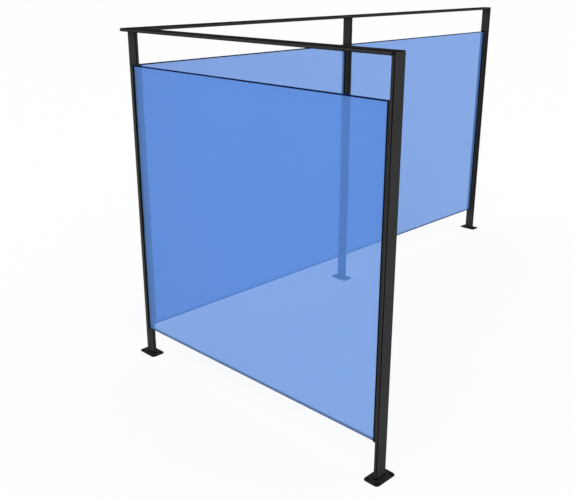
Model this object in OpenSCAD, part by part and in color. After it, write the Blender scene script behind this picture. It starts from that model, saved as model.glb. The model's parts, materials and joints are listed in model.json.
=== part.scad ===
// Glass balustrade round a corner: one side bay and two bays in line, framed in steel flat bar.
// Millimetres, +Z up. The origin is the centre of the corner post's base plate, on the floor.
// +X runs along the side bay and +Y along the two bays in line.

/* [Overall] */
// Height of the top of the rail above the floor
rail_height = 1100; // [900:10:1300]
// Clear length of the side bay, from post to post
side_bay = 1000; // [500:10:1400]
// Clear length of the near bay, from the corner post to the middle post
near_bay = 1000; // [500:10:1400]
// Clear length of the far bay, from the middle post to the end post
far_bay = 1000; // [500:10:1400]

/* [Flat bar] */
// Width of the flat bar that makes the posts and rails
bar_width = 40; // [30:1:60]
// Thickness of the flat bar
bar_thickness = 10; // [6:0.5:15]

/* [Base plates] */
// Length of a base plate, along its post's wide face
plate_length = 80; // [70:1:120]
// Breadth of a base plate
plate_breadth = 50; // [46:1:80]
// Thickness of a base plate
plate_thickness = 3; // [2:0.5:12]
// Radius of a base plate's corners
plate_corner_radius = 10; // [4:0.5:14]
// Diameter of the anchor bolt holes
bolt_hole_diameter = 9; // [6:0.5:11]
// Distance from a plate's edges to the centre of a bolt hole
bolt_hole_inset = 10; // [8:0.5:12]

/* [Glass] */
// Thickness of the glass
glass_thickness = 8; // [6:0.5:12]
// Height of the gap between the floor and the glass
floor_gap = 103; // [40:1:150]
// Height of the hand gap between the glass and the underside of the rail
hand_gap = 100; // [50:1:150]

/* [Glazing channels] */
// Depth of the channel that holds a glass edge, away from its post
channel_depth = 15; // [12:0.5:20]
// Wall thickness of the channel
channel_wall = 2; // [1:0.25:3]
// Thickness of the rubber on each side of the glass
gasket_lip = 1.5; // [1:0.25:3]
// Thickness of the rubber behind the glass edge
gasket_base = 2; // [1:0.25:4]

/* [Hidden] */
$fn = 48;
// Reach of a cutting shape past the surface that it opens
cut_past = 1;
// Width over the two walls of a channel
channel_width = glass_thickness + 2 * (gasket_lip + channel_wall);
// Underside of the rails, and the lower and upper edges of the glass
rail_underside = rail_height - bar_thickness;
glass_low = floor_gap;
glass_high = rail_underside - hand_gap;
glass_height = glass_high - glass_low;
// Distance from a post's face to the glass edge beside it
glass_setback = channel_wall + gasket_base;
// The side bay's glass stands beside the corner post, so that its channel is flush with the post's edge
side_line = -(bar_thickness + channel_width) / 2;
side_post_x = bar_width / 2 + side_bay + bar_thickness / 2;
middle_post_y = near_bay + bar_thickness;
end_post_y = middle_post_y + far_bay + bar_thickness;
// Where each channel's back is: on the faces of the posts, and inside the corner post's edge
corner_channel_x = bar_width / 2 - channel_depth;
side_face_x = side_post_x - bar_thickness / 2;
half_thickness = bar_thickness / 2;
// Outer and inner corner of the rails' mitre, seen from above
rail_outer = [-bar_width / 2, side_line - bar_width / 2];
rail_inner = [bar_width / 2, side_line + bar_width / 2];
STEEL = [0.21, 0.21, 0.21];
PLATE = [0.14, 0.14, 0.14];
CHANNEL = [0.18, 0.18, 0.18];
RUBBER = [0.05, 0.05, 0.06];
GLASS = [0.36, 0.54, 0.85, 0.5];

// Base plate with rounded corners and four bolt holes, its length along X, centred on the origin.
module base_plate() {
    corner_x = plate_length / 2 - plate_corner_radius;
    corner_y = plate_breadth / 2 - plate_corner_radius;
    hole_x = plate_length / 2 - bolt_hole_inset;
    hole_y = plate_breadth / 2 - bolt_hole_inset;
    color(PLATE) difference() {
        union() {
            translate([-plate_length / 2, -corner_y, 0])
                cube([plate_length, 2 * corner_y, plate_thickness]);
            translate([-corner_x, -plate_breadth / 2, 0])
                cube([2 * corner_x, plate_breadth, plate_thickness]);
            for (x = [-corner_x, corner_x], y = [-corner_y, corner_y])
                translate([x, y, 0])
                    cylinder(r = plate_corner_radius, h = plate_thickness);
        }
        for (x = [-hole_x, hole_x], y = [-hole_y, hole_y])
            translate([x, y, -cut_past])
                cylinder(d = bolt_hole_diameter, h = plate_thickness + 2 * cut_past);
    }
}

// Post that ends square under the rail, its wide faces towards -Y and +Y.
module square_post() {
    color(STEEL)
        translate([-bar_width / 2, -half_thickness, plate_thickness])
            cube([bar_width, bar_thickness, rail_underside - plate_thickness]);
}

// Post that ends in a mitre, which meets a rail coming from -Y.
module mitred_post() {
    color(STEEL)
        translate([-bar_width / 2, 0, 0])
            rotate([90, 0, 90])
                linear_extrude(height = bar_width)
                    polygon([[-half_thickness, plate_thickness],
                             [half_thickness, plate_thickness],
                             [half_thickness, rail_height],
                             [-half_thickness, rail_underside]]);
}

// Outline of the channel with its back on the Y = 0 line and its mouth towards +Y.
module channel_outline() {
    difference() {
        translate([-channel_width / 2, 0])
            square([channel_width, channel_depth]);
        translate([channel_wall - channel_width / 2, channel_wall])
            square([channel_width - 2 * channel_wall, channel_depth]);
    }
}

// Outline of the rubber that lines the channel and grips the glass edge.
module gasket_outline() {
    difference() {
        translate([channel_wall - channel_width / 2, channel_wall])
            square([channel_width - 2 * channel_wall, channel_depth - channel_wall]);
        translate([-glass_thickness / 2, glass_setback])
            square([glass_thickness, channel_depth]);
    }
}

// Upright channel, and its gasket, as tall as the glass.
module channel() {
    color(CHANNEL)
        translate([0, 0, glass_low])
            linear_extrude(height = glass_height)
                channel_outline();
}

module gasket() {
    color(RUBBER)
        translate([0, 0, glass_low])
            linear_extrude(height = glass_height)
                gasket_outline();
}

// Places a channel or gasket with its back at a point, and turns its mouth from +Y.
module at_back(x, y, turn) {
    translate([x, y, 0])
        rotate([0, 0, turn])
            children();
}

// Glass sheet from one corner to the opposite corner in plan.
module glass_sheet(from, to) {
    color(GLASS)
        translate([from[0], from[1], glass_low])
            cube([to[0] - from[0], to[1] - from[1], glass_height]);
}

module corner_post() {
    square_post();
}

module side_post() {
    translate([side_post_x, side_line, 0])
        rotate([0, 0, -90])
            mitred_post();
}

module middle_post() {
    translate([0, middle_post_y, 0])
        square_post();
}

module end_post() {
    translate([0, end_post_y, 0])
        mitred_post();
}

module corner_base_plate() {
    base_plate();
}

module side_base_plate() {
    translate([side_post_x, side_line, 0])
        rotate([0, 0, 90])
            base_plate();
}

module middle_base_plate() {
    translate([0, middle_post_y, 0])
        base_plate();
}

module end_base_plate() {
    translate([0, end_post_y, 0])
        base_plate();
}

// Rail over the side bay: mitred to the long rail at the corner and to the side post at its end.
module side_rail() {
    color(STEEL) intersection() {
        translate([0, 0, rail_underside])
            linear_extrude(height = bar_thickness)
                polygon([rail_outer,
                         [side_post_x + half_thickness, rail_outer[1]],
                         [side_post_x + half_thickness, rail_inner[1]],
                         rail_inner]);
        translate([0, rail_inner[1], 0])
            rotate([90, 0, 0])
                linear_extrude(height = bar_width)
                    polygon([[rail_outer[0], rail_underside],
                             [side_post_x - half_thickness, rail_underside],
                             [side_post_x + half_thickness, rail_height],
                             [rail_outer[0], rail_height]]);
    }
}

// Rail over the two bays in line, mitred at the corner and at the end post.
module long_rail() {
    color(STEEL) intersection() {
        translate([0, 0, rail_underside])
            linear_extrude(height = bar_thickness)
                polygon([rail_outer,
                         rail_inner,
                         [rail_inner[0], end_post_y + half_thickness],
                         [rail_outer[0], end_post_y + half_thickness]]);
        translate([rail_outer[0], 0, 0])
            rotate([90, 0, 90])
                linear_extrude(height = bar_width)
                    polygon([[rail_outer[1], rail_underside],
                             [end_post_y - half_thickness, rail_underside],
                             [end_post_y + half_thickness, rail_height],
                             [rail_outer[1], rail_height]]);
    }
}

module side_glass() {
    glass_sheet([corner_channel_x + glass_setback, side_line - glass_thickness / 2],
                [side_face_x - glass_setback, side_line + glass_thickness / 2]);
}

module near_glass() {
    glass_sheet([-glass_thickness / 2, half_thickness + glass_setback],
                [glass_thickness / 2, middle_post_y - half_thickness - glass_setback]);
}

module far_glass() {
    glass_sheet([-glass_thickness / 2, middle_post_y + half_thickness + glass_setback],
                [glass_thickness / 2, end_post_y - half_thickness - glass_setback]);
}

module side_bay_corner_place() {
    at_back(corner_channel_x, side_line, -90) children();
}

module side_bay_post_place() {
    at_back(side_face_x, side_line, 90) children();
}

module near_bay_corner_place() {
    at_back(0, half_thickness, 0) children();
}

module near_bay_middle_place() {
    at_back(0, middle_post_y - half_thickness, 180) children();
}

module far_bay_middle_place() {
    at_back(0, middle_post_y + half_thickness, 0) children();
}

module far_bay_end_place() {
    at_back(0, end_post_y - half_thickness, 180) children();
}

module side_bay_corner_channel() {
    side_bay_corner_place() channel();
}

module side_bay_post_channel() {
    side_bay_post_place() channel();
}

module near_bay_corner_channel() {
    near_bay_corner_place() channel();
}

module near_bay_middle_channel() {
    near_bay_middle_place() channel();
}

module far_bay_middle_channel() {
    far_bay_middle_place() channel();
}

module far_bay_end_channel() {
    far_bay_end_place() channel();
}

module side_bay_corner_gasket() {
    side_bay_corner_place() gasket();
}

module side_bay_post_gasket() {
    side_bay_post_place() gasket();
}

module near_bay_corner_gasket() {
    near_bay_corner_place() gasket();
}

module near_bay_middle_gasket() {
    near_bay_middle_place() gasket();
}

module far_bay_middle_gasket() {
    far_bay_middle_place() gasket();
}

module far_bay_end_gasket() {
    far_bay_end_place() gasket();
}

corner_post();
side_post();
middle_post();
end_post();
corner_base_plate();
side_base_plate();
middle_base_plate();
end_base_plate();
side_rail();
long_rail();
side_glass();
near_glass();
far_glass();
side_bay_corner_channel();
side_bay_post_channel();
near_bay_corner_channel();
near_bay_middle_channel();
far_bay_middle_channel();
far_bay_end_channel();
side_bay_corner_gasket();
side_bay_post_gasket();
near_bay_corner_gasket();
near_bay_middle_gasket();
far_bay_middle_gasket();
far_bay_end_gasket();
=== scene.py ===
"""Dresses the corner glass balustrade: steelwork, welds, glazing channels, rubber, glass and stage."""

import json
import math

import bmesh
import bpy
from bpy.props import FloatProperty, FloatVectorProperty, PointerProperty
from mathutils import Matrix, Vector


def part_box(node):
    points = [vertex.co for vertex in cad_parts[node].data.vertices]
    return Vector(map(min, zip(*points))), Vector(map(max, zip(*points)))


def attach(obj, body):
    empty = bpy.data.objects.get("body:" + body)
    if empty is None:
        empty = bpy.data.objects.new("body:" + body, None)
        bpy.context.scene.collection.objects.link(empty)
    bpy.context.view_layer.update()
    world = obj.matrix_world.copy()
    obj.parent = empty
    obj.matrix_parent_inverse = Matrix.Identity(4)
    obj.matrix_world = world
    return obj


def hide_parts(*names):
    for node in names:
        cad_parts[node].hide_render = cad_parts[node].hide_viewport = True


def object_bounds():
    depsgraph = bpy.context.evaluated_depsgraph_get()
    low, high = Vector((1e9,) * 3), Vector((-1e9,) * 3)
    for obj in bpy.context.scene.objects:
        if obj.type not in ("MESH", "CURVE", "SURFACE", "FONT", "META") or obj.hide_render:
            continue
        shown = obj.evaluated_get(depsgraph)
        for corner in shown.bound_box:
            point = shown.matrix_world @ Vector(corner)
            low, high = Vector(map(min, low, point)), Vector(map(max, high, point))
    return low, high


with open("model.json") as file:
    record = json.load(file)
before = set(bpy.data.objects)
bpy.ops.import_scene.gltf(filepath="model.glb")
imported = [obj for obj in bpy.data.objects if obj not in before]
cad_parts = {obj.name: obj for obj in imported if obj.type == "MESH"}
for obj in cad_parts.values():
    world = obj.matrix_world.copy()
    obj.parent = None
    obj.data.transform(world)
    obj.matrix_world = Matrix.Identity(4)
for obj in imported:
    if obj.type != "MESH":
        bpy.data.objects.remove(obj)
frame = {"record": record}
CAD_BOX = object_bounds()

bl_info = {
    "name": "Glass Balustrade",
    "version": (1, 0, 0),
    "blender": (4, 5, 0),
    "location": "3D View > Sidebar > Balustrade",
    "description": "Makes the steelwork, glazing, welds and stage of a corner glass balustrade",
    "category": "Object",
}

UP = Vector((0, 0, 1))
POSTS = ("corner", "side", "middle", "end")
MITRED_POSTS = ("side", "end")
GLASS_ENDS = {
    "side_bay_corner": "side_glass",
    "side_bay_post": "side_glass",
    "near_bay_corner": "near_glass",
    "near_bay_middle": "near_glass",
    "far_bay_middle": "far_glass",
    "far_bay_end": "far_glass",
}
BOLT_MOUNTS = {
    mount["name"].split("_")[0]: mount
    for mount in frame["record"]["mounts"]
    if mount["kind"] == "bolt_pattern"
}
PLATE_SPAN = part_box("corner_base_plate")[1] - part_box("corner_base_plate")[0]
RAIL_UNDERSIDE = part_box("long_rail")[0].z
BAR_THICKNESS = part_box("long_rail")[1].z - RAIL_UNDERSIDE
MM_PER_M = 1000

# Tests on places and normals
TOUCH = 0.0001
WELD_TOGETHER = 0.00001
FACING = 0.9
LEVEL = 0.99
UPRIGHT = 0.1

# Angles
SHARP_ANGLE = math.radians(25)
SOFT_ANGLE = math.radians(40)
BEAD_SOFT_ANGLE = math.radians(50)
FLAT_ANGLE = math.radians(1)
SCREW_TURN = math.radians(17)

# Steps and sides of round shapes
BAR_STEPS = 3
SMALL_STEPS = 2
LIP_STEPS = 3
CORNER_STEPS = 10
HOLE_SIDES = 32
SOCKET_SIDES = 6
DROP_SIDES = 10
DROP_RINGS = 6

# Material slots: the faces of a piece come first
EDGE_SLOT = 1
# Slot of the darker rail-top coat, which is painted shade on the upward faces
SHADED_TOP_SLOT = 2
GLASS_EDGE_SLOT = 2

# Shares of a screw's height and radius
FLANGE_SHARE = 0.4
SOCKET_SHARE = 0.5
HEAD_SHARE = 0.9
HEAD_TOP_SHARE = 0.95
HEAD_ROUND_SHARE = 0.3

# Shares of a weld's leg
DROP_PITCH = 0.6
DROP_LENGTH = 0.62
FOOT_BEAD_INSET = 0.35
HEAD_BEAD_SIZE = 0.8

# Range that noise mostly keeps to
NOISE_LOW = 0.25
NOISE_HIGH = 0.75

# Gloss of the powder coat
COAT_GLOSS = 0.05
ARRIS_GLOSS = 0.02
RAIL_TOP_GLOSS = 0.0

LIP_ROUND_SHARE = 0.45
EDGE_PALER = 4
EDGE_OPACITY = 0.8
FLOOR_GLOW = 0.85
SENSOR_WIDTH = 36.0
VIEW_DEPTH = 500.0


# Settings


class SteelworkSettings(bpy.types.PropertyGroup):
    """Sizes and colours of the posts, rails and welds."""

    arris_radius: FloatProperty(
        name="Arris radius",
        description="Radius of the rounded long edges of the flat bar",
        default=0.002,
        min=0.0002,
        max=0.003,
        precision=4,
        unit="LENGTH",
    )
    coat_colour: FloatVectorProperty(
        name="Powder coat",
        description="Colour of the powder coat on the flat faces",
        default=(0.03, 0.03, 0.03),
        min=0.0,
        max=1.0,
        subtype="COLOR",
    )
    arris_colour: FloatVectorProperty(
        name="Arrises",
        description="Colour of the powder coat on the rounded edges, darker than on the faces",
        default=(0.004, 0.004, 0.004),
        min=0.0,
        max=1.0,
        subtype="COLOR",
    )
    # The darker coat on top of the rails is painted shade of the upward faces; it is also more matt
    rail_top_colour_with_painted_shade: FloatVectorProperty(
        name="Rail tops",
        description="Colour of the coat on top of the rails, darker and more matt than on the faces",
        default=(0.018, 0.018, 0.018),
        min=0.0,
        max=1.0,
        subtype="COLOR",
    )
    coat_grain: FloatProperty(
        name="Coat grain",
        description="Size of the fine bumps in the powder coat",
        default=0.0009,
        min=0.0002,
        max=0.01,
        precision=4,
        unit="LENGTH",
    )
    weld_leg: FloatProperty(
        name="Weld leg",
        description="Leg of the fillet welds at the post feet and under the rails",
        default=0.003,
        min=0.001,
        max=0.006,
        precision=4,
        unit="LENGTH",
    )


class BasePlateSettings(bpy.types.PropertyGroup):
    """Sizes and colours of the base plates."""

    corner_radius: FloatProperty(
        name="Corner radius",
        description="Radius of the plate corners seen from above",
        default=0.01,
        min=0.002,
        max=0.014,
        unit="LENGTH",
    )
    rim: FloatProperty(
        name="Rim",
        description="Width of the softened edge round the plate and round each bolt hole",
        default=0.0012,
        min=0.0001,
        max=0.0014,
        precision=4,
        unit="LENGTH",
    )
    screw_gap: FloatProperty(
        name="Screw gap",
        description="Gap between a screw head and its hole",
        default=0.001,
        min=0.0002,
        max=0.002,
        precision=4,
        unit="LENGTH",
    )
    # The plate coat is darker than the posts' coat as painted shade of the upward faces of the plates and
    # screw heads
    plate_colour_with_painted_shade: FloatVectorProperty(
        name="Plate coat",
        description="Colour of the powder coat on the plates",
        default=(0.018, 0.018, 0.018),
        min=0.0,
        max=1.0,
        subtype="COLOR",
    )
    rim_colour: FloatVectorProperty(
        name="Plate rim",
        description="Colour of the softened edges of the plates",
        default=(0.003, 0.003, 0.003),
        min=0.0,
        max=1.0,
        subtype="COLOR",
    )


class GlazingSettings(bpy.types.PropertyGroup):
    """Sizes and colours of the channels, the rubber and the glass."""

    channel_arris: FloatProperty(
        name="Channel arris",
        description="Radius of the outer edges of the channels",
        default=0.0009,
        min=0.0001,
        max=0.0009,
        precision=4,
        unit="LENGTH",
    )
    mouth_band: FloatProperty(
        name="Mouth band",
        description="Width of the dark band along the mouth of a channel",
        default=0.004,
        min=0.001,
        max=0.01,
        precision=4,
        unit="LENGTH",
    )
    channel_colour: FloatVectorProperty(
        name="Channel coat",
        description="Colour of the satin coat on the channels",
        default=(0.028, 0.028, 0.029),
        min=0.0,
        max=1.0,
        subtype="COLOR",
    )
    lip_rise: FloatProperty(
        name="Rubber lip",
        description="How far the rubber lips stand out of the mouth of a channel",
        default=0.0025,
        min=0.0005,
        max=0.005,
        precision=4,
        unit="LENGTH",
    )
    rubber_colour: FloatVectorProperty(
        name="Rubber",
        description="Colour of the glazing rubber",
        default=(0.006, 0.006, 0.007),
        min=0.0,
        max=1.0,
        subtype="COLOR",
    )
    glass_arris: FloatProperty(
        name="Glass arris",
        description="Width of the small bevels along the edges of the glass",
        default=0.001,
        min=0.0003,
        max=0.003,
        precision=4,
        unit="LENGTH",
    )
    glass_rim: FloatProperty(
        name="Glass rim",
        description="Width of the dark line inside each edge of a sheet",
        default=0.0022,
        min=0.0003,
        max=0.01,
        precision=4,
        unit="LENGTH",
    )
    glass_colour: FloatVectorProperty(
        name="Glass colour",
        description="Colour that the glass itself shows in the light",
        default=(0.131, 0.302, 0.705),
        min=0.0,
        max=1.0,
        subtype="COLOR",
    )
    glass_tint: FloatVectorProperty(
        name="Glass tint",
        description="Tint of what is seen through one face of the glass",
        default=(0.73, 0.843, 1.0),
        min=0.0,
        max=1.0,
        subtype="COLOR",
    )
    glass_opacity: FloatProperty(
        name="Glass opacity",
        description="How much of the light each face of a sheet holds back",
        default=0.46,
        min=0.05,
        max=1.0,
        subtype="FACTOR",
    )
    edge_colour: FloatVectorProperty(
        name="Glass edge",
        description="Colour of the glass seen along its edges, where it is deepest",
        default=(0.0025, 0.008, 0.036),
        min=0.0,
        max=1.0,
        subtype="COLOR",
    )


class StageSettings(bpy.types.PropertyGroup):
    """Floor, light and camera."""

    floor_width: FloatProperty(
        name="Floor width",
        description="Width of the floor, which is square",
        default=120.0,
        min=5.0,
        max=500.0,
        unit="LENGTH",
    )
    floor_colour: FloatVectorProperty(
        name="Floor",
        description="Colour of the pale floor",
        default=(0.9, 0.9, 0.9),
        min=0.0,
        max=1.0,
        subtype="COLOR",
    )
    sky_strength: FloatProperty(
        name="Sky",
        description="Strength of the even light from all round",
        default=1.05,
        min=0.0,
        max=5.0,
    )
    key_power: FloatProperty(
        name="Key lamp",
        description="Power of the large soft lamp in front",
        default=138.0,
        min=0.0,
        max=1000.0,
        unit="POWER",
    )
    key_width: FloatProperty(
        name="Key lamp width",
        description="Width of the large soft lamp, which is square",
        default=6.0,
        min=0.5,
        max=20.0,
        unit="LENGTH",
    )
    key_place: FloatVectorProperty(
        name="Key lamp place",
        description="Where the large soft lamp hangs, from the middle of the balustrade",
        default=(4.8, -6.0, 4.6),
        subtype="TRANSLATION",
        unit="LENGTH",
    )
    camera_place: FloatVectorProperty(
        name="Camera place",
        description="Where the camera stands",
        default=(2.10358, -1.44387, 1.26522),
        subtype="TRANSLATION",
        unit="LENGTH",
    )
    camera_turn: FloatVectorProperty(
        name="Camera turn",
        description="How the camera is turned",
        default=(math.radians(70.546), 0.0, math.radians(44.912)),
        subtype="EULER",
    )
    camera_lens: FloatProperty(
        name="Lens",
        description="Focal length of the camera, in millimetres",
        default=49.83,
        min=10.0,
        max=300.0,
    )


# Workbench


def clear_bench():
    """Leaves edit mode and lets go of every object, the CAD nodes included."""
    if bpy.context.object is not None and bpy.context.object.mode != "OBJECT":
        bpy.ops.object.mode_set(mode="OBJECT")
    bpy.ops.object.select_all(action="DESELECT")


def take(*pieces):
    """Selects these pieces alone and makes the first one active."""
    clear_bench()
    for piece in pieces:
        piece.select_set(True)
    bpy.context.view_layer.objects.active = pieces[0]


def add_block(name, low, high):
    """Adds a block between two corners, with its place kept in its mesh."""
    clear_bench()
    bpy.ops.mesh.primitive_cube_add(size=1, location=(low + high) / 2, scale=high - low)
    block = bpy.context.object
    block.name = name
    bpy.ops.object.transform_apply(location=True, rotation=True, scale=True)
    return block


def start_editing(piece, part="EDGE"):
    """Opens a piece in edit mode with nothing selected."""
    take(piece)
    bpy.ops.object.mode_set(mode="EDIT")
    bpy.ops.mesh.select_mode(type=part)
    bpy.ops.mesh.select_all(action="DESELECT")


def stop_editing():
    """Goes back to object mode."""
    bpy.ops.object.mode_set(mode="OBJECT")


def pick_edges(piece, wanted):
    """Selects the edges of an open piece that pass a test, and says how many."""
    mesh = bmesh.from_edit_mesh(piece.data)
    mesh.normal_update()
    picked = [edge for edge in mesh.edges if wanted(edge)]
    for edge in picked:
        edge.select_set(True)
    bmesh.update_edit_mesh(piece.data)
    return len(picked)


def pick_faces(piece, wanted):
    """Selects the faces of an open piece that pass a test, and says how many."""
    mesh = bmesh.from_edit_mesh(piece.data)
    mesh.normal_update()
    picked = [face for face in mesh.faces if wanted(face)]
    for face in picked:
        face.select_set(True)
    bmesh.update_edit_mesh(piece.data)
    return len(picked)


def middle_of(edge):
    """Middle of an edge."""
    return (edge.verts[0].co + edge.verts[1].co) / 2


def run_along(edge, axis):
    """How far an edge runs along an axis."""
    return abs(edge.verts[0].co[axis] - edge.verts[1].co[axis])


def is_sharp(edge):
    """True where two faces meet at a clear angle."""
    return len(edge.link_faces) == 2 and edge.calc_face_angle() > SHARP_ANGLE


def every(_edge):
    """Test that every edge passes."""
    return True


def round_edges(piece, wanted, radius, steps, material=EDGE_SLOT):
    """Bevels the sharp edges that pass a test, and gives the bevels the material in a slot."""
    start_editing(piece)
    if not pick_edges(piece, lambda edge: is_sharp(edge) and wanted(edge)):
        raise RuntimeError(f"{piece.name}: no edge to round")
    bpy.ops.mesh.bevel(
        offset=radius, offset_type="OFFSET", segments=steps, affect="EDGES", material=material
    )
    stop_editing()


def split_at(piece, point, across):
    """Scores a piece along a plane, and keeps both sides."""
    start_editing(piece, "FACE")
    bpy.ops.mesh.select_all(action="SELECT")
    bpy.ops.mesh.bisect(plane_co=point, plane_no=across)
    stop_editing()


def paint_faces(piece, wanted, slot):
    """Gives the faces that pass a test the material in a slot."""
    for face in piece.data.polygons:
        if wanted(face):
            face.material_index = slot


def cut_off(piece, point, away):
    """Saws a piece along a plane and drops what lies on the away side."""
    start_editing(piece, "FACE")
    bpy.ops.mesh.select_all(action="SELECT")
    bpy.ops.mesh.bisect(plane_co=point, plane_no=away, use_fill=True, clear_outer=True)
    stop_editing()


def soften(piece):
    """Shades the small bevels smoothly and keeps the wide faces flat."""
    take(piece)
    bpy.ops.object.shade_smooth_by_angle(angle=SOFT_ANGLE)
    bpy.ops.object.modifier_add(type="WEIGHTED_NORMAL")
    piece.modifiers[-1].keep_sharp = True
    bpy.ops.object.modifier_apply(modifier=piece.modifiers[-1].name)


def give_materials(piece, *materials):
    """Puts materials on a piece. They go on before its bevels, which take one of them."""
    for material in materials:
        piece.data.materials.append(material)


def copy_to(pattern, name, place, turn):
    """Copies a pattern piece, turns it about its own zero point and sets it down at a place."""
    take(pattern)
    bpy.ops.object.duplicate(linked=False)
    piece = bpy.context.object
    piece.name = name
    piece.location = place
    piece.rotation_euler = (0, 0, turn)
    bpy.ops.object.transform_apply(location=True, rotation=True, scale=True)
    return piece


def discard(piece):
    """Removes a pattern piece when its copies are in place."""
    take(piece)
    bpy.ops.object.delete()


def bore(piece, drill):
    """Takes the shape of a drill out of a piece, and puts the drill away."""
    take(piece)
    bpy.ops.object.modifier_add(type="BOOLEAN")
    hole = piece.modifiers[-1]
    hole.operation = "DIFFERENCE"
    hole.solver = "EXACT"
    hole.object = drill
    bpy.ops.object.modifier_apply(modifier=hole.name)
    discard(drill)


def join(name, pieces):
    """Joins pieces into one."""
    take(*pieces)
    if len(pieces) > 1:
        bpy.ops.object.join()
    whole = bpy.context.object
    whole.name = name
    return whole


def hand_over(piece, slot, *nodes):
    """Fixes a finished piece to the balustrade and lets it stand for its CAD nodes."""
    piece.data.name = piece.name
    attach(piece, "root")
    if nodes:
        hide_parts(*nodes)
    clear_bench()


# Materials


def start_material(name):
    """Starts an empty material and gives its node tree and the socket of its surface."""
    material = bpy.data.materials.new(name)
    material.use_nodes = True
    tree = material.node_tree
    tree.nodes.clear()
    output = tree.nodes.new("ShaderNodeOutputMaterial")
    return material, tree, output.inputs["Surface"]


def add_shader(tree):
    """Adds the shader and gives it with the object coordinates."""
    shader = tree.nodes.new("ShaderNodeBsdfPrincipled")
    coordinates = tree.nodes.new("ShaderNodeTexCoord")
    return shader, coordinates.outputs["Object"]


def plain_material(name, gloss):
    """Starts an opaque material and gives its node tree, shader and object coordinates."""
    material, tree, surface = start_material(name)
    shader, place = add_shader(tree)
    shader.inputs["Specular IOR Level"].default_value = gloss
    tree.links.new(shader.outputs["BSDF"], surface)
    return material, tree, shader, place


def add_noise(tree, source, size, detail, stretch=(1, 1, 1)):
    """Adds noise whose blots are about size metres wide, stretched along an axis where asked."""
    mapping = tree.nodes.new("ShaderNodeMapping")
    mapping.inputs["Scale"].default_value = [1 / (size * axis) for axis in stretch]
    noise = tree.nodes.new("ShaderNodeTexNoise")
    noise.inputs["Scale"].default_value = 1.0
    noise.inputs["Detail"].default_value = detail
    tree.links.new(source, mapping.inputs["Vector"])
    tree.links.new(mapping.outputs["Vector"], noise.inputs["Vector"])
    return noise.outputs["Fac"]


def spread_value(tree, source, low, high, socket):
    """Sends noise to a socket as values between low and high."""
    spread = tree.nodes.new("ShaderNodeMapRange")
    spread.inputs["From Min"].default_value = NOISE_LOW
    spread.inputs["From Max"].default_value = NOISE_HIGH
    spread.inputs["To Min"].default_value = low
    spread.inputs["To Max"].default_value = high
    tree.links.new(source, spread.inputs["Value"])
    tree.links.new(spread.outputs["Result"], socket)


def spread_colour(tree, source, colour, depth, socket):
    """Sends noise to a socket as shades a little darker and lighter than a colour."""
    ramp = tree.nodes.new("ShaderNodeValToRGB")
    dark, light = ramp.color_ramp.elements
    dark.position = NOISE_LOW
    dark.color = [min(1, part * (1 - depth)) for part in colour] + [1]
    light.position = NOISE_HIGH
    light.color = [min(1, part * (1 + depth)) for part in colour] + [1]
    tree.links.new(source, ramp.inputs["Fac"])
    tree.links.new(ramp.outputs["Color"], socket)


def add_bump(tree, shader, source, height, strength):
    """Raises a surface by noise."""
    bump = tree.nodes.new("ShaderNodeBump")
    bump.inputs["Distance"].default_value = height
    bump.inputs["Strength"].default_value = strength
    tree.links.new(source, bump.inputs["Height"])
    tree.links.new(bump.outputs["Normal"], shader.inputs["Normal"])


def make_powder_coat(name, colour, grain, gloss):
    """Fine-textured powder coat with faint clouding."""
    material, tree, shader, place = plain_material(name, gloss)
    clouds = add_noise(tree, place, size=0.16, detail=4.0)
    patches = add_noise(tree, place, size=0.02, detail=3.0)
    bumps = add_noise(tree, place, size=grain, detail=1.0)
    spread_colour(tree, clouds, colour, depth=0.1, socket=shader.inputs["Base Color"])
    spread_value(tree, patches, low=0.7, high=0.85, socket=shader.inputs["Roughness"])
    add_bump(tree, shader, bumps, height=0.0001, strength=0.5)
    return material


def make_satin_coat(name, colour):
    """Satin coat on drawn channel, with faint lines along its length."""
    material, tree, shader, place = plain_material(name, gloss=0.12)
    clouds = add_noise(tree, place, size=0.08, detail=3.0)
    lines = add_noise(tree, place, size=0.0007, detail=2.0, stretch=(1, 1, 400))
    spread_colour(tree, clouds, colour, depth=0.1, socket=shader.inputs["Base Color"])
    spread_value(tree, lines, low=0.5, high=0.65, socket=shader.inputs["Roughness"])
    add_bump(tree, shader, lines, height=0.00004, strength=0.4)
    return material


def make_rubber(name, colour):
    """Matt glazing rubber with a fine skin."""
    material, tree, shader, place = plain_material(name, gloss=0.2)
    clouds = add_noise(tree, place, size=0.05, detail=3.0)
    patches = add_noise(tree, place, size=0.004, detail=2.0)
    skin = add_noise(tree, place, size=0.0004, detail=1.0)
    spread_colour(tree, clouds, colour, depth=0.2, socket=shader.inputs["Base Color"])
    spread_value(tree, patches, low=0.68, high=0.85, socket=shader.inputs["Roughness"])
    add_bump(tree, shader, skin, height=0.00005, strength=0.5)
    return material


def make_glass(name, colour, tint, opacity):
    """Tinted glass with a faint drift in its colour, a slow roller wave and wiping marks."""
    material, tree, surface = start_material(name)
    shader, place = add_shader(tree)
    shader.inputs["IOR"].default_value = 1.5
    shader.inputs["Specular IOR Level"].default_value = 0.15
    through = tree.nodes.new("ShaderNodeBsdfTransparent")
    through.inputs["Color"].default_value = (*tint, 1)
    mix = tree.nodes.new("ShaderNodeMixShader")
    mix.inputs["Fac"].default_value = opacity
    tree.links.new(through.outputs["BSDF"], mix.inputs[1])
    tree.links.new(shader.outputs["BSDF"], mix.inputs[2])
    tree.links.new(mix.outputs["Shader"], surface)
    drift = add_noise(tree, place, size=0.7, detail=1.0)
    wipes = add_noise(tree, place, size=0.05, detail=4.0, stretch=(1, 1, 5))
    waves = add_noise(tree, place, size=0.3, detail=0.0, stretch=(1, 1, 3))
    spread_colour(tree, drift, colour, depth=0.02, socket=shader.inputs["Base Color"])
    spread_value(tree, wipes, low=0.02, high=0.07, socket=shader.inputs["Roughness"])
    add_bump(tree, shader, waves, height=0.0004, strength=0.1)
    return material


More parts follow.
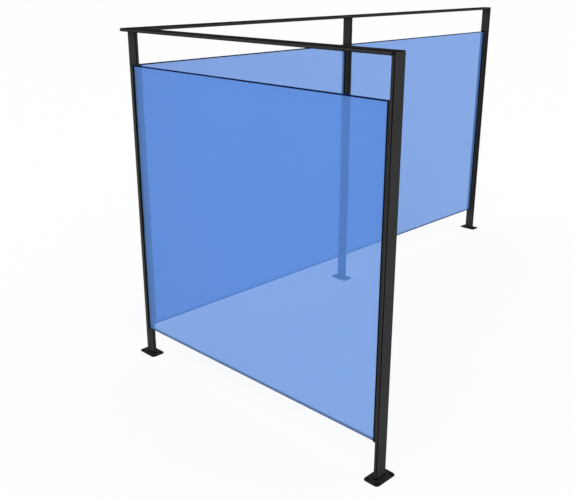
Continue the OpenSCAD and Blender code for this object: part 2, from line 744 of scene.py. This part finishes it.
def make_glass_edge(name, colour, opacity):
    """Glass edge, deep in colour, with fine grinding lines."""
    material, tree, shader, place = plain_material(name, gloss=0.0)
    shader.inputs["Alpha"].default_value = opacity
    drift = add_noise(tree, place, size=0.06, detail=3.0)
    patches = add_noise(tree, place, size=0.003, detail=2.0)
    lines = add_noise(tree, place, size=0.0008, detail=1.0)
    spread_colour(tree, drift, colour, depth=0.15, socket=shader.inputs["Base Color"])
    spread_value(tree, patches, low=0.1, high=0.25, socket=shader.inputs["Roughness"])
    add_bump(tree, shader, lines, height=0.00003, strength=0.3)
    return material


def shared(name, make, *values):
    """Gives the material of that name, and makes it the first time."""
    return bpy.data.materials.get(name) or make(name, *values)


def bar_materials(scene):
    """Materials of the flat bar: its faces and its arrises."""
    steel = scene.balustrade_steelwork
    return (
        shared("powder_coat", make_powder_coat, steel.coat_colour, steel.coat_grain, COAT_GLOSS),
        shared("powder_coat_arris", make_powder_coat, steel.arris_colour, steel.coat_grain, ARRIS_GLOSS),
    )


def plate_materials(scene):
    """Materials of the base plates and screws: their faces and their rims."""
    plate = scene.balustrade_base_plates
    grain = scene.balustrade_steelwork.coat_grain
    return (
        # The darker plate coat carries painted shade of the upward faces
        shared("plate_coat", make_powder_coat, plate.plate_colour_with_painted_shade, grain, COAT_GLOSS),
        shared("plate_coat_rim", make_powder_coat, plate.rim_colour, grain, ARRIS_GLOSS),
    )


# Steelwork


def bar_axis(low, high):
    """Number of the axis along which a bar or sheet is thinnest."""
    span = high - low
    return min(range(3), key=lambda axis: span[axis])


class BALUSTRADE_OT_posts(bpy.types.Operator):
    """Makes the four flat-bar posts, with rounded arrises and mitred tops where a rail turns down"""

    bl_idname = "balustrade.posts"
    bl_label = "Posts"

    def execute(self, context):
        steel = context.scene.balustrade_steelwork
        for post in POSTS:
            node = f"{post}_post"
            low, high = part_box(node)
            piece = add_block(f"{post}_flat_bar_post", low, high)
            give_materials(piece, *bar_materials(context.scene))
            if post in MITRED_POSTS:
                across = Vector((0, 0, 0))
                across[bar_axis(low, high)] = -1
                cut_off(piece, Vector((low.x, low.y, RAIL_UNDERSIDE)), (UP + across).normalized())
            round_edges(
                piece,
                lambda edge, foot=low.z: middle_of(edge).z > foot + TOUCH,
                steel.arris_radius,
                BAR_STEPS,
            )
            soften(piece)
            hand_over(piece, "frame", node)
        return {"FINISHED"}


class BALUSTRADE_OT_rails(bpy.types.Operator):
    """Makes the two flat-bar rails, mitred to each other and to the posts at their ends"""

    bl_idname = "balustrade.rails"
    bl_label = "Rails"

    def execute(self, context):
        steel = context.scene.balustrade_steelwork
        side_low, side_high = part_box("side_rail")
        long_low, long_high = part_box("long_rail")
        top_coat = shared(
            "rail_top_coat", make_powder_coat, steel.rail_top_colour_with_painted_shade, steel.coat_grain, RAIL_TOP_GLOSS
        )
        corner = Vector((long_low.x, side_low.y, long_low.z))
        across_corner = Vector((side_high.y - side_low.y, long_low.x - long_high.x, 0)).normalized()
        side_end = Vector((side_high.x - BAR_THICKNESS, 0, side_low.z))
        long_end = Vector((0, long_high.y - BAR_THICKNESS, long_low.z))
        side = add_block("side_flat_bar_rail", side_low, side_high)
        cut_off(side, corner, -across_corner)
        cut_off(side, side_end, Vector((1, 0, -1)).normalized())
        long = add_block("long_flat_bar_rail", long_low, long_high)
        cut_off(long, corner, across_corner)
        cut_off(long, long_end, Vector((0, 1, -1)).normalized())
        for piece, node in ((side, "side_rail"), (long, "long_rail")):
            give_materials(piece, *bar_materials(context.scene), top_coat)
            round_edges(piece, every, steel.arris_radius, BAR_STEPS)
            # The upward faces take the darker top coat: painted shade of the rail tops
            paint_faces(piece, lambda face: face.normal.z > LEVEL, SHADED_TOP_SLOT)
            soften(piece)
            hand_over(piece, "frame", node)
        return {"FINISHED"}


def bolt_spots(mount):
    """Places of the four bolts of a plate, in millimetres from the middle of the plate."""
    pitch = mount["dims"]
    return [
        Vector((along * pitch["spacing_x_mm"], across * pitch["spacing_y_mm"], 0))
        for along in (-0.5, 0.5)
        for across in (-0.5, 0.5)
    ]


def add_round(sides, radius, depth, place):
    """Adds an upright round bar, the start of a screw or a drill."""
    clear_bench()
    bpy.ops.mesh.primitive_cylinder_add(vertices=sides, radius=radius, depth=depth, location=place)
    return bpy.context.object


class BALUSTRADE_OT_base_plates(bpy.types.Operator):
    """Makes the four base plates, with round corners and four drilled bolt holes each"""

    bl_idname = "balustrade.base_plates"
    bl_label = "Base plates"

    def execute(self, context):
        plate = context.scene.balustrade_base_plates
        mount = BOLT_MOUNTS["corner"]
        radius = mount["dims"]["hole_r_mm"] / MM_PER_M
        half = Vector((PLATE_SPAN.x / 2, PLATE_SPAN.y / 2, 0))
        half_height = PLATE_SPAN.z / 2
        pattern = add_block("plate_pattern", -half, half + UP * PLATE_SPAN.z)
        give_materials(pattern, *plate_materials(context.scene))
        start_editing(pattern)
        pick_edges(pattern, lambda edge: abs(middle_of(edge).z - half_height) < TOUCH)
        bpy.ops.mesh.bevel(offset=plate.corner_radius, segments=CORNER_STEPS, affect="EDGES")
        stop_editing()
        for spot in bolt_spots(mount):
            place = (spot.x / MM_PER_M, spot.y / MM_PER_M, half_height)
            bore(pattern, add_round(HOLE_SIDES, radius, PLATE_SPAN.z * 3, place))
        round_edges(pattern, every, plate.rim, SMALL_STEPS)
        paint_faces(pattern, lambda face: abs(face.normal.z) < UPRIGHT, EDGE_SLOT)
        soften(pattern)
        for post in POSTS:
            low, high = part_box(f"{post}_base_plate")
            turned = high.x - low.x < high.y - low.y
            place = Vector(((low.x + high.x) / 2, (low.y + high.y) / 2, low.z))
            piece = copy_to(pattern, f"{post}_drilled_plate", place, math.pi / 2 if turned else 0)
            hand_over(piece, "base_plate", f"{post}_base_plate")
        discard(pattern)
        return {"FINISHED"}


class BALUSTRADE_OT_screws(bpy.types.Operator):
    """Sets a flush socket-head screw in each bolt hole of the base plates"""

    bl_idname = "balustrade.screws"
    bl_label = "Screws"

    def execute(self, context):
        plate = context.scene.balustrade_base_plates
        radius = BOLT_MOUNTS["corner"]["dims"]["hole_r_mm"] / MM_PER_M
        height = PLATE_SPAN.z - plate.rim / 2
        flange = height * FLANGE_SHARE
        socket = (radius - plate.screw_gap) * SOCKET_SHARE
        pattern = add_round(HOLE_SIDES, radius, flange, (0, 0, flange / 2))
        pattern.name = "screw_pattern"
        bpy.ops.object.transform_apply(location=True, rotation=True, scale=True)
        give_materials(pattern, *plate_materials(context.scene))
        start_editing(pattern, "FACE")
        pick_faces(pattern, lambda face: face.normal.z > FACING)
        bpy.ops.mesh.inset(thickness=plate.screw_gap)
        bpy.ops.mesh.extrude_region_move(TRANSFORM_OT_translate={"value": (0, 0, height - flange)})
        stop_editing()
        # The flange and the sides of the head, down in the gap round the head, take the dark rim coat as
        # painted shade inside the bolt hole
        paint_faces(pattern, lambda face: face.center.z < height * HEAD_TOP_SHARE, EDGE_SLOT)
        bore(pattern, add_round(SOCKET_SIDES, socket, height, (0, 0, height)))
        round_edges(
            pattern,
            lambda edge: middle_of(edge).z > height * HEAD_SHARE,
            plate.rim * HEAD_ROUND_SHARE,
            SMALL_STEPS,
        )
        soften(pattern)
        for post, mount in BOLT_MOUNTS.items():
            middle = Vector(mount["pos_m"])
            screws = [
                copy_to(pattern, "screw", middle + spot / MM_PER_M, SCREW_TURN * number)
                for number, spot in enumerate(bolt_spots(mount))
            ]
            hand_over(join(f"{post}_plate_screws", screws), "base_plate")
        discard(pattern)
        return {"FINISHED"}


def lay_bead(start, end, leg):
    """Lays a rippled weld bead from start to end as overlapping drops, like coins pushed over."""
    run = end - start
    drops = max(2, round(run.length / (leg * DROP_PITCH)) + 1)
    clear_bench()
    bpy.ops.mesh.primitive_uv_sphere_add(
        segments=DROP_SIDES, ring_count=DROP_RINGS, radius=leg, location=(0, 0, 0)
    )
    bead = bpy.context.object
    bpy.ops.object.mode_set(mode="EDIT")
    bpy.ops.mesh.select_all(action="SELECT")
    bpy.ops.transform.resize(value=(DROP_LENGTH, 1, 1))
    stop_editing()
    bpy.ops.object.modifier_add(type="ARRAY")
    row = bead.modifiers[-1]
    row.count = drops
    row.use_relative_offset = False
    row.use_constant_offset = True
    row.constant_offset_displace = (run.length / (drops - 1), 0, 0)
    bpy.ops.object.modifier_apply(modifier=row.name)
    bead.rotation_mode = "QUATERNION"
    bead.rotation_quaternion = Vector((1, 0, 0)).rotation_difference(run.normalized())
    bead.location = start
    bpy.ops.object.transform_apply(location=True, rotation=True, scale=True)
    bead.rotation_mode = "XYZ"
    return bead


def finish_weld(name, beads, coat):
    """Makes one weld of its beads and fixes it to the steelwork."""
    weld = join(name, beads)
    bpy.ops.object.shade_smooth_by_angle(angle=BEAD_SOFT_ANGLE)
    give_materials(weld, coat)
    hand_over(weld, "frame")


class BALUSTRADE_OT_welds(bpy.types.Operator):
    """Lays the fillet welds at the post feet and under the rails"""

    bl_idname = "balustrade.welds"
    bl_label = "Welds"

    def execute(self, context):
        leg = context.scene.balustrade_steelwork.weld_leg
        coat = bar_materials(context.scene)[EDGE_SLOT]
        inset = Vector((leg * FOOT_BEAD_INSET, leg * FOOT_BEAD_INSET, 0))
        for post in POSTS:
            low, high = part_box(f"{post}_post")
            near, far = low + inset, high - inset
            foot = [
                Vector((near.x, near.y, low.z)),
                Vector((far.x, near.y, low.z)),
                Vector((far.x, far.y, low.z)),
                Vector((near.x, far.y, low.z)),
            ]
            beads = [lay_bead(start, end, leg) for start, end in zip(foot, foot[1:] + foot[:1])]
            finish_weld(f"{post}_foot_weld", beads, coat)
            thin = bar_axis(low, high)
            wide = 1 - thin
            start, end = Vector((0, 0, RAIL_UNDERSIDE)), Vector((0, 0, RAIL_UNDERSIDE))
            start[wide], end[wide] = low[wide] + leg, high[wide] - leg
            sides = [low[thin]] if post in MITRED_POSTS else [low[thin], high[thin]]
            beads = []
            for side in sides:
                start[thin] = end[thin] = side
                beads.append(lay_bead(start, end, leg * HEAD_BEAD_SIZE))
            finish_weld(f"{post}_head_weld", beads, coat)
        return {"FINISHED"}


# Glazing


def make_trough(name, span, wall, base, mouth_rise):
    """Makes an upright trough, its back on the Y = 0 line and its mouth towards +Y."""
    half = span.x / 2
    back = add_block(name, Vector((-half, 0, 0)), Vector((half, base, span.z)))
    for line in (-half + wall, half - wall):
        split_at(back, (line, 0, 0), (1, 0, 0))
    start_editing(back, "FACE")
    found = pick_faces(
        back,
        lambda face: face.normal.y > FACING and abs(face.calc_center_median().x) > half - wall,
    )
    if found != 2:
        raise RuntimeError(f"{name}: {found} walls to draw out instead of 2")
    bpy.ops.mesh.extrude_region_move(TRANSFORM_OT_translate={"value": (0, span.y - base + mouth_rise, 0)})
    bpy.ops.mesh.select_all(action="SELECT")
    bpy.ops.mesh.remove_doubles(threshold=WELD_TOGETHER)
    bpy.ops.mesh.dissolve_limited(angle_limit=FLAT_ANGLE)
    bpy.ops.mesh.normals_make_consistent(inside=False)
    stop_editing()
    return back


def trough_place(end):
    """Where the channel at that end of a sheet stands, how it is turned, and the spans of its parts."""
    low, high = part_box(f"{end}_channel")
    rubber_low, rubber_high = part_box(f"{end}_gasket")
    sheet_low, sheet_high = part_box(GLASS_ENDS[end])
    middle = (low + high) / 2
    to_sheet = (sheet_low + sheet_high) / 2 - middle
    across = bar_axis(sheet_low, sheet_high)
    along = 1 - across
    mouth = Vector((0, 0, 0))
    mouth[along] = math.copysign(1, to_sheet[along])
    depth = high[along] - low[along]
    width = high[across] - low[across]
    wall = rubber_low[across] - low[across]
    back = middle - mouth * depth / 2
    sheet_edge = sheet_low[along] if mouth[along] > 0 else sheet_high[along]
    return {
        "back": Vector((back.x, back.y, low.z)),
        "mouth": mouth,
        "turn": math.atan2(mouth.y, mouth.x) - math.pi / 2,
        "span": Vector((width, depth, high.z - low.z)),
        "wall": wall,
        "thickness": sheet_high[across] - sheet_low[across],
        "setback": abs(sheet_edge - back[along]),
        "rubber_span": Vector((width - 2 * wall, depth - wall, rubber_high.z - rubber_low.z)),
    }


class BALUSTRADE_OT_channels(bpy.types.Operator):
    """Makes the six upright glazing channels"""

    bl_idname = "balustrade.channels"
    bl_label = "Channels"

    def execute(self, context):
        glazing = context.scene.balustrade_glazing
        first = trough_place("near_bay_corner")
        pattern = make_trough("channel_pattern", first["span"], first["wall"], first["wall"], 0)
        give_materials(
            pattern,
            shared("channel_satin", make_satin_coat, glazing.channel_colour),
            bar_materials(context.scene)[EDGE_SLOT],
        )
        round_edges(pattern, every, glazing.channel_arris, SMALL_STEPS)
        band_start = first["span"].y - glazing.mouth_band
        split_at(pattern, (0, band_start, 0), (0, 1, 0))
        paint_faces(pattern, lambda face: face.center.y > band_start, EDGE_SLOT)
        soften(pattern)
        for end in GLASS_ENDS:
            spot = trough_place(end)
            piece = copy_to(pattern, f"{end}_glazing_channel", spot["back"], spot["turn"])
            hand_over(piece, "channel", f"{end}_channel")
        discard(pattern)
        return {"FINISHED"}


class BALUSTRADE_OT_gaskets(bpy.types.Operator):
    """Makes the rubber that lines each channel, with rounded lips against the glass"""

    bl_idname = "balustrade.gaskets"
    bl_label = "Rubber gaskets"

    def execute(self, context):
        glazing = context.scene.balustrade_glazing
        first = trough_place("near_bay_corner")
        lip = (first["rubber_span"].x - first["thickness"]) / 2
        base = first["setback"] - first["wall"]
        pattern = make_trough("rubber_pattern", first["rubber_span"], lip, base, glazing.lip_rise)
        give_materials(pattern, shared("glazing_rubber", make_rubber, glazing.rubber_colour))
        mouth = first["rubber_span"].y + glazing.lip_rise
        round_edges(
            pattern,
            lambda edge: abs(middle_of(edge).y - mouth) < TOUCH and run_along(edge, 2) > TOUCH,
            lip * LIP_ROUND_SHARE,
            LIP_STEPS,
            0,
        )
        soften(pattern)
        for end in GLASS_ENDS:
            spot = trough_place(end)
            bed = spot["back"] + spot["mouth"] * spot["wall"]
            piece = copy_to(pattern, f"{end}_rubber", bed, spot["turn"])
            hand_over(piece, "gasket", f"{end}_gasket")
        discard(pattern)
        return {"FINISHED"}


class BALUSTRADE_OT_glass(bpy.types.Operator):
    """Makes the three sheets of tinted glass, with small bevels and a dark rim along their edges"""

    bl_idname = "balustrade.glass"
    bl_label = "Glass"

    def execute(self, context):
        glazing = context.scene.balustrade_glazing
        edge_colour = [EDGE_PALER * part for part in glazing.edge_colour]
        sheet_values = (glazing.glass_colour, glazing.glass_tint, glazing.glass_opacity)
        for bay in ("side", "near", "far"):
            low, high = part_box(f"{bay}_glass")
            thin = bar_axis(low, high)
            piece = add_block(f"{bay}_glass_sheet", low, high)
            give_materials(
                piece,
                shared("tinted_glass", make_glass, *sheet_values),
                shared("glass_rim", make_glass_edge, glazing.edge_colour, 1.0),
                shared("glass_edge", make_glass_edge, edge_colour, EDGE_OPACITY),
            )
            round_edges(
                piece,
                lambda edge, axis=thin: run_along(edge, axis) < TOUCH,
                glazing.glass_arris,
                1,
            )
            start_editing(piece, "FACE")
            pick_faces(piece, lambda face, axis=thin: abs(face.normal[axis]) > FACING)
            bpy.ops.mesh.inset(thickness=glazing.glass_rim, use_boundary=True, use_individual=True)
            stop_editing()
            broad = max(face.area for face in piece.data.polygons)
            for face in piece.data.polygons:
                facing = abs(face.normal[thin])
                if facing > FACING and face.area < broad / 2:
                    face.material_index = EDGE_SLOT
                elif face.material_index == 0 and facing < FACING:
                    face.material_index = GLASS_EDGE_SLOT
            hand_over(piece, "glass", f"{bay}_glass")
        return {"FINISHED"}


# Stage


def seen_factor(tree):
    """One for rays from the camera, mirrors and clear glass, and nought for rays that light things."""
    path = tree.nodes.new("ShaderNodeLightPath")
    total = path.outputs["Is Camera Ray"]
    for kind in ("Is Glossy Ray", "Is Transmission Ray"):
        add = tree.nodes.new("ShaderNodeMath")
        add.operation = "ADD"
        add.use_clamp = True
        tree.links.new(total, add.inputs[0])
        tree.links.new(path.outputs[kind], add.inputs[1])
        total = add.outputs["Value"]
    return total


def make_floor_paint(name, colour):
    """Pale floor that looks almost white and still holds the shadow."""
    material, tree, surface = start_material(name)
    paint = tree.nodes.new("ShaderNodeBsdfDiffuse")
    paint.inputs["Color"].default_value = (*colour, 1)
    glow = tree.nodes.new("ShaderNodeEmission")
    glow.inputs["Color"].default_value = (1, 1, 1, 1)
    share = tree.nodes.new("ShaderNodeMath")
    share.operation = "MULTIPLY"
    share.inputs[1].default_value = FLOOR_GLOW
    mix = tree.nodes.new("ShaderNodeMixShader")
    tree.links.new(seen_factor(tree), share.inputs[0])
    tree.links.new(share.outputs["Value"], mix.inputs["Fac"])
    tree.links.new(paint.outputs["BSDF"], mix.inputs[1])
    tree.links.new(glow.outputs["Emission"], mix.inputs[2])
    tree.links.new(mix.outputs["Shader"], surface)
    return material


def light_sky(scene, strength):
    """Even light from all round, and a white background."""
    world = bpy.data.worlds.new("white_studio")
    world.use_nodes = True
    scene.world = world
    tree = world.node_tree
    tree.nodes.clear()
    output = tree.nodes.new("ShaderNodeOutputWorld")
    light = tree.nodes.new("ShaderNodeBackground")
    light.inputs["Color"].default_value = (1, 1, 1, 1)
    light.inputs["Strength"].default_value = strength
    seen = tree.nodes.new("ShaderNodeBackground")
    seen.inputs["Color"].default_value = (1, 1, 1, 1)
    seen.inputs["Strength"].default_value = 1.0
    mix = tree.nodes.new("ShaderNodeMixShader")
    tree.links.new(seen_factor(tree), mix.inputs["Fac"])
    tree.links.new(light.outputs["Background"], mix.inputs[1])
    tree.links.new(seen.outputs["Background"], mix.inputs[2])
    tree.links.new(mix.outputs["Shader"], output.inputs["Surface"])


def hang_lamp(name, place, aim, width, power):
    """Hangs a large soft lamp that points at a spot."""
    clear_bench()
    bpy.ops.object.light_add(type="AREA", location=place)
    lamp = bpy.context.object
    lamp.name = name
    lamp.data.shape = "SQUARE"
    lamp.data.size = width
    lamp.data.energy = power
    lamp.rotation_euler = (aim - place).to_track_quat("-Z", "Y").to_euler()
    lamp.visible_glossy = False


class BALUSTRADE_OT_stage(bpy.types.Operator):
    """Sets up the pale floor, the soft light and the camera"""

    bl_idname = "balustrade.stage"
    bl_label = "Stage"

    def execute(self, context):
        scene = context.scene
        stage = scene.balustrade_stage
        low, high = CAD_BOX
        middle = (low + high) / 2
        clear_bench()
        bpy.ops.mesh.primitive_plane_add(
            size=stage.floor_width, location=(middle.x, middle.y, low.z)
        )
        floor = bpy.context.object
        floor.name = "studio_floor"
        floor.data.materials.append(make_floor_paint("floor_paint", stage.floor_colour))
        light_sky(scene, stage.sky_strength)
        lamp_place = middle + Vector(stage.key_place)
        hang_lamp("key_lamp", lamp_place, middle, stage.key_width, stage.key_power)
        clear_bench()
        bpy.ops.object.camera_add(location=stage.camera_place, rotation=stage.camera_turn)
        camera = bpy.context.object
        camera.name = "camera"
        camera.data.sensor_width = SENSOR_WIDTH
        camera.data.lens = stage.camera_lens
        camera.data.clip_end = VIEW_DEPTH
        scene.camera = camera
        scene.view_settings.view_transform = "Standard"
        clear_bench()
        return {"FINISHED"}


# Panel and registration


class BALUSTRADE_PT_panel(bpy.types.Panel):
    """Settings and makers of the balustrade"""

    bl_idname = "BALUSTRADE_PT_panel"
    bl_label = "Glass Balustrade"
    bl_space_type = "VIEW_3D"
    bl_region_type = "UI"
    bl_category = "Balustrade"

    def draw(self, context):
        for title, name, settings, makers in GROUPS:
            box = self.layout.box()
            box.label(text=title)
            values = getattr(context.scene, name)
            for key in settings.__annotations__:
                box.prop(values, key)
            for maker in makers:
                box.operator(maker.bl_idname)


GROUPS = (
    (
        "Steelwork",
        "balustrade_steelwork",
        SteelworkSettings,
        (BALUSTRADE_OT_posts, BALUSTRADE_OT_rails, BALUSTRADE_OT_welds),
    ),
    (
        "Base plates",
        "balustrade_base_plates",
        BasePlateSettings,
        (BALUSTRADE_OT_base_plates, BALUSTRADE_OT_screws),
    ),
    (
        "Glazing",
        "balustrade_glazing",
        GlazingSettings,
        (BALUSTRADE_OT_channels, BALUSTRADE_OT_gaskets, BALUSTRADE_OT_glass),
    ),
    ("Stage", "balustrade_stage", StageSettings, (BALUSTRADE_OT_stage,)),
)


def register():
    """Registers the settings, the operators and the panel."""
    for _title, name, settings, makers in GROUPS:
        bpy.utils.register_class(settings)
        setattr(bpy.types.Scene, name, PointerProperty(type=settings))
        for maker in makers:
            bpy.utils.register_class(maker)
    bpy.utils.register_class(BALUSTRADE_PT_panel)


def unregister():
    """Takes them out again."""
    bpy.utils.unregister_class(BALUSTRADE_PT_panel)
    for _title, name, settings, makers in reversed(GROUPS):
        for maker in reversed(makers):
            bpy.utils.unregister_class(maker)
        delattr(bpy.types.Scene, name)
        bpy.utils.unregister_class(settings)


def main():
    """Makes everything in order."""
    register()
    bpy.ops.balustrade.posts()
    bpy.ops.balustrade.rails()
    bpy.ops.balustrade.base_plates()
    bpy.ops.balustrade.screws()
    bpy.ops.balustrade.welds()
    bpy.ops.balustrade.channels()
    bpy.ops.balustrade.gaskets()
    bpy.ops.balustrade.glass()
    bpy.ops.balustrade.stage()


if __name__ == "__main__":
    main()
